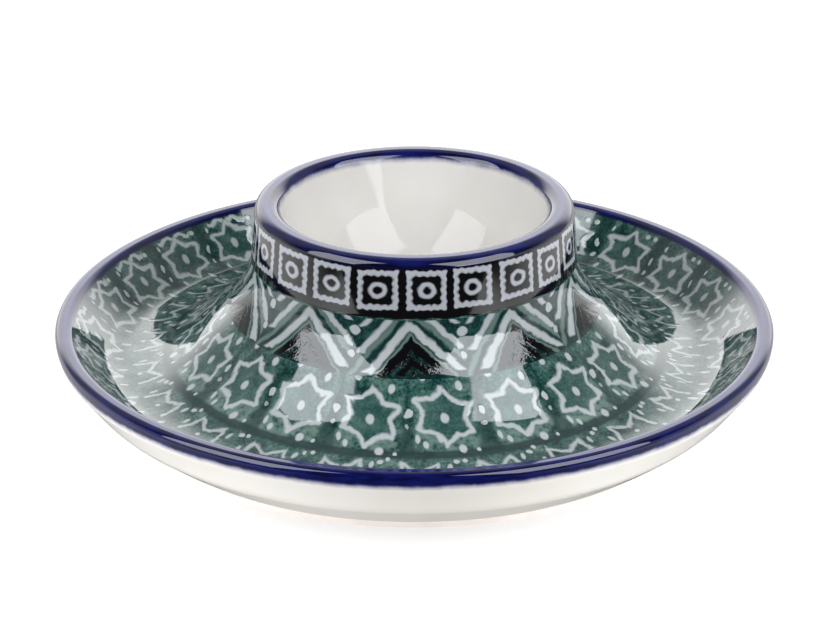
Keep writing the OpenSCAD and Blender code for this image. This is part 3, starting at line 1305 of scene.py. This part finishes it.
@dataclass(frozen=True)
class WellStamp(Finish):
    """Green band over well and flange: a row of star tips by the cone, and a row of stars on the flange."""

    name: str = "well_star_glaze"
    slot: str = "star_stamp_glaze"
    middle: float = 50.4
    tips_middle: float = 38.7
    lip: float = 56.5
    tip: float = 5.3
    notch: float = 3.45

    def paint(self, graph: Graph) -> tuple[Socket, Number]:
        """White stars, tips and dots on green, with blue at the lip.

        Args:
            graph: the material's tree.

        Returns:
            The colour, and the height of the relief in millimetres.
        """
        cell = Cell(graph, FLANGE_STARS, 1, self.middle, sway=0.3, squash=1.12)
        tips = Cell(graph, WELL_TIPS, 2, self.tips_middle, sway=0.3)
        star, outline = cell.star(self.tip, self.notch)
        between = abs(cell.across).ease(4.6, 5.9) * cell.run.ease(43.5, 46)
        colour = graph.mix(between * 0.7, green_ground(graph), PAINTS.deep_green)
        colour = star_ground(graph, cell, star, colour)
        dots = cell.dots((
            (0.0, 0.2, 0.7, 1.15), (-2.5, -6.1, 0.45, 1.1), (4.0, -5.2, 0.4, 0.85), (-2.9, 5.2, 0.5, 0.55),
            (-4.8, 5.3, 0.5, 0.55), (4.9, 4.4, 0.28, 0.65),
        ))
        left = graph.split(graph.place())[0].ease(-0.004, -0.006)
        zigzag = abs((cell.across / 3.7).maths("FRACT") - 0.5) * 2.6
        crown = cell.stroke(cell.down - 6.4 + zigzag, 1.1) * abs(cell.across).ease(4.6, 4.0)
        side = abs(tips.across)
        leg = (side - 2.9 - tips.down * 0.28).most(tips.down * -1 - 0.3)
        slope = side * 0.72 + tips.down - 2.05
        shape = tips.stroke(leg.most(slope * -0.8), 0.75) * tips.down.ease(4.9, 4.3) * side.ease(5.4, 4.9)
        tip_dots = tips.dots((
            (0.0, 3.6, 0.5, 0.45), (-5.2, -0.9, 0.4, 0.45), (4.9, 0.6, 0.4, 0.8), (-5.0, 2.6, 0.36, 0.8),
        ))
        white = most_of(
            cell.stroke(outline, 0.9), dots,
            cell.border_dot(0.4, 0.34, 0.85), cell.border_dot(-2.2, 0.32, 0.55),
            crown * (1 - star.ease(0.6, 0.4)) * left,
            shape * (1 - star.ease(0.4, 0.2)), tip_dots, tips.border_dot(-0.4, 0.45, 0.5),
        )
        colour = graph.mix(white * 0.92, colour, PAINTS.white)
        edge = graph.frayed(cell.run, 2.0, 1.0, 0.5)
        colour = graph.mix(edge.ease(self.lip - 0.5, self.lip), colour, PAINTS.deep_cobalt)
        return colour, white * STAMP_RELIEF


# Sub-assemblies


@dataclass
class Ware:
    """What all sub-assemblies share.

    Args:
        section: the glazed surface.
        made: the pieces made so far.
        rim_inner: reach of the blue down the bowl, from the rim's crest.
        squares: run at which the squares begin.
        chevrons: run at which the chevrons begin.
        cone_stars: run at which the stars on the cone begin.
        well_stars: run at which the tips and stars of the well begin.
        lip_inner: reach of the blue inwards, from the lip's crest.
        lip_outer: reach of the blue outwards, from the lip's crest.
        bare_outer: reach of the bare clay past the standing face, outside.
        bare_inner: reach of the bare clay past the standing face, inside.
    """

    section: Section
    made: list[bpy.types.Object]
    rim_inner: float = 3.2
    squares: float = 2.5
    chevrons: float = 12.0
    cone_stars: float = 22.2
    well_stars: float = 36.7
    lip_inner: float = 1.6
    lip_outer: float = 3.9
    bare_outer: float = 2.6
    bare_inner: float = 1.4

    def lay(self, coat: Coat, finish: Finish) -> None:
        """Builds a coat, gives it its material, and sets it in place of its CAD node.

        Args:
            coat: the coat, or the clay.
            finish: what it is made of.
        """
        piece = coat.build(self.section)
        piece.data.materials.append(finish.make())
        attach(piece, BODY)
        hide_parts(coat.node)
        self.made.append(piece)
        LOG.info("%s: %d faces", piece.name, len(piece.data.polygons))

    @property
    def lip_start(self) -> float:
        """Run at which the blue of the lip begins."""
        return self.section.lip_crest_run - self.lip_inner

    @property
    def lip_end(self) -> float:
        """Run at which the blue of the lip ends."""
        return self.section.lip_crest_run + self.lip_outer

    @property
    def bare_start(self) -> float:
        """Run at which the bare clay begins."""
        return self.section.foot_run - self.section.foot_width / 2 - self.bare_outer

    @property
    def bare_end(self) -> float:
        """Run at which the bare clay ends."""
        return self.section.foot_run + self.section.foot_width / 2 + self.bare_inner


class Cup(Ware):
    """The cup: its lining, its blue rim and its two stamped bands."""

    def build(self) -> None:
        """Builds the cup's coats."""
        first = self.section.stations[0].run
        rim = -self.rim_inner
        self.lay(Coat("BowlLining", "bowl_lining_glaze", first, rim, 3),
                 CreamGlaze("bowl_lining", blue_at=((rim, True),)))
        self.lay(Coat("CupRim", "cup_rim_band", rim, self.squares, 5),
                 CobaltGlaze("cup_rim", black_at=self.squares, cream_at=((rim, True),)))
        self.lay(Coat("SquareBand", "square_band", self.squares, self.chevrons, rows=(SQUARES,)),
                 SquareStamp())
        self.lay(Coat("ChevronBand", "chevron_band", self.chevrons, self.cone_stars, rows=(CHEVRONS,)),
                 ChevronStamp())


class Saucer(Ware):
    """The saucer with the cone's foot: star bands, blue lip, underside and hollow."""

    def build(self) -> None:
        """Builds the saucer's coats."""
        last = self.section.stations[-1].run
        self.lay(Coat("ConeStarBand", "inner_star_band", self.cone_stars, self.well_stars,
                      rows=(CONE_STARS,)), ConeStarStamp())
        self.lay(Coat("WellStarBand", "outer_star_band", self.well_stars, self.lip_start,
                      rows=(FLANGE_STARS, WELL_TIPS)), WellStamp(lip=self.lip_start))
        self.lay(Coat("SaucerLip", "saucer_rim_band", self.lip_start, self.lip_end, 7),
                 CobaltGlaze("saucer_lip", crest=self.section.lip_crest_run,
                             cream_at=((self.lip_end, False),)))
        self.lay(Coat("Underside", "underside_glaze", self.lip_end, self.bare_start),
                 CreamGlaze("underside", blue_at=((self.lip_end, False),), clay_at=self.bare_start))
        self.lay(Coat("Hollow", "hollow_glaze", self.bare_end, last, 2),
                 CreamGlaze("hollow", clay_at=self.bare_end))


class Body(Ware):
    """The fired clay under every coat."""

    def build(self) -> None:
        """Builds the clay."""
        stations = self.section.stations
        self.lay(Clay("StonewareBody", "stoneware_body", stations[0].run, stations[-1].run, 3,
                      bare_start=self.bare_start, bare_end=self.bare_end), FiredClay())


# Studio


@dataclass(frozen=True)
class SoftBox:
    """A lamp that faces the object.

    Args:
        name: name of the lamp.
        azimuth: angle to the right of the camera's side, in degrees.
        height: angle above the floor, in degrees.
        wide: width in metres.
        tall: height in metres.
        radiance: brightness, where 1 is a white wall as the camera sees it.
        distance: distance from the middle of the object, in metres.
    """

    name: str
    azimuth: float
    height: float
    wide: float
    tall: float
    radiance: float
    distance: float = 0.62

    def build(self) -> None:
        """Sets up the lamp."""
        data = bpy.data.lights.new(self.name, "AREA")
        data.shape = "RECTANGLE"
        data.color = (0.965, 0.99, 1.03)
        data.size, data.size_y = self.wide, self.tall
        data.energy = self.radiance * math.pi * self.wide * self.tall
        a, e = math.radians(self.azimuth), math.radians(self.height)
        away = Vector((math.sin(a) * math.cos(e), -math.cos(a) * math.cos(e), math.sin(e)))
        lamp = placed(self.name, data, away * self.distance + Vector((0, 0, 0.02)))
        lamp.rotation_euler = away.to_track_quat("Z", "Y").to_euler()


@dataclass
class Studio:
    """Pale floor, soft boxes, white surroundings and the camera."""

    camera_place: tuple[float, float, float] = (0.0, -0.486026, 0.231431)
    camera_pitch: float = 23.8046
    focal_pixels: float = 2921.5
    axis_right_pixels: float = 1.3
    sensor: float = 36.0
    floor_half: float = 3.0
    floor_drop: float = 0.0002
    table_edge: float = 0.112
    boxes: tuple[SoftBox, ...] = (
        SoftBox("LeftBox", -59.6, 37.0, 0.44, 0.53, 3.3),
        SoftBox("RightBox", 50.8, 36.8, 0.51, 0.54, 3.45),
    )

    def build(self) -> None:
        """Sets up the whole studio."""
        self.floor()
        self.surroundings()
        for box in self.boxes:
            box.build()
        self.camera()

    def rays(self, graph: Graph) -> tuple[Value, ...]:
        """Whether a ray comes from the camera, from a glossy surface or from a matt one.

        Args:
            graph: tree of a material or of the world.

        Returns:
            1 or 0 for the camera, for a glossy surface and for a matt one.
        """
        outputs = graph.node("LightPath").outputs
        kinds = ("Camera", "Glossy", "Diffuse")
        return tuple(Value(graph, outputs[f"Is {kind} Ray"]) for kind in kinds)

    def floor_finish(self) -> bpy.types.Material:
        """The floor's look: white to the camera apart from the shadow, and darker in mirrors, but glowing
        as painted fill light to matt rays and as painted reflections at the sides.

        Returns:
            The material.
        """
        graph = Graph(bpy.data.materials.new("floor"))
        camera, mirrored, bounced = self.rays(graph)
        paint = graph.mix(mirrored, (0.45, 0.45, 0.45), (0.05, 0.05, 0.05))
        diffuse = graph.node("BsdfDiffuse", {"Color": paint}).outputs[0]
        reach = graph.length(graph.place())
        across, back, _ = graph.split(graph.place())
        aside = abs(across)
        near_front = aside.ease(0.1, 0.13) * back.ease(0.01, -0.11)
        # Painted light: glow to matt rays, stronger at the sides, lights the underside; glow in mirrors at
        # the sides paints reflections on the object.
        seen = camera * (reach.ease(0.05, 0.085) * 0.34 + reach.ease(0.08, 0.22) * 0.35 + 0.51)
        seen = seen + bounced * (aside.ease(0.0, 0.045) * 0.6 + 0.78)
        seen = seen + mirrored * aside.ease(0.02, 0.11) * (1 - near_front)
        glow = graph.node("Emission", {"Color": WHITE, "Strength": seen}).outputs[0]
        return graph.finish(graph.node("AddShader", {0: diffuse, 1: glow}).outputs[0])

    def floor(self) -> None:
        """The floor: pale, bright to the camera, and it keeps the object's shadow."""
        bm = bmesh.new()
        bmesh.ops.create_grid(bm, x_segments=1, y_segments=1, size=self.floor_half)
        bmesh.ops.translate(bm, verts=bm.verts, vec=(0, self.floor_half - self.table_edge, 0))
        mesh = bpy.data.meshes.new("Floor")
        bm.to_mesh(mesh)
        bm.free()
        mesh.materials.append(self.floor_finish())
        placed("Floor", mesh, (0, 0, -self.floor_drop))

    def surroundings(self) -> None:
        """White to the camera. To other rays, a wall behind the object and dimness on the camera's side."""
        world = bpy.data.worlds.new("Studio")
        bpy.context.scene.world = world
        graph = Graph(world)
        across, behind, up = graph.split(graph.node("TexCoord").outputs["Generated"])
        camera, mirrored, _ = self.rays(graph)
        wall = behind.ease(0.66, 0.86) * up.ease(0.7, 0.38)
        haze = behind.ease(0.0, 0.4) * 0.32 + abs(across).ease(0.82, 0.93) * up.ease(0.4, 0.1) * 0.6
        strength = (wall * (0.9 + mirrored * 1.1) + haze * mirrored) * up.ease(-0.05, 0.02) + 0.04
        strength = strength * (1 - camera) + camera
        light = graph.node("Background", {"Color": WHITE, "Strength": strength}).outputs[0]
        graph.node("OutputWorld", {"Surface": light})

    def camera(self) -> None:
        """The camera, at the photograph's angle."""
        data = bpy.data.cameras.new("Camera")
        data.sensor_width = self.sensor
        data.lens = self.sensor * self.focal_pixels / IMAGE_WIDTH
        data.shift_x = -self.axis_right_pixels / IMAGE_WIDTH
        data.clip_start, data.clip_end = 0.01, 20
        camera = placed("Camera", data, self.camera_place)
        camera.rotation_euler = (math.radians(90 - self.camera_pitch), 0, 0)
        bpy.context.scene.camera = camera


def main() -> None:
    """Builds the object and its studio."""
    logging.basicConfig(level=logging.INFO)
    bpy.context.scene.view_settings.view_transform = "Standard"
    section, made = Section(), []
    for part in (Body, Cup, Saucer):
        part(section, made).build()
    LOG.info("%d pieces", len(made))
    Studio().build()


if __name__ == "__main__":
    main()
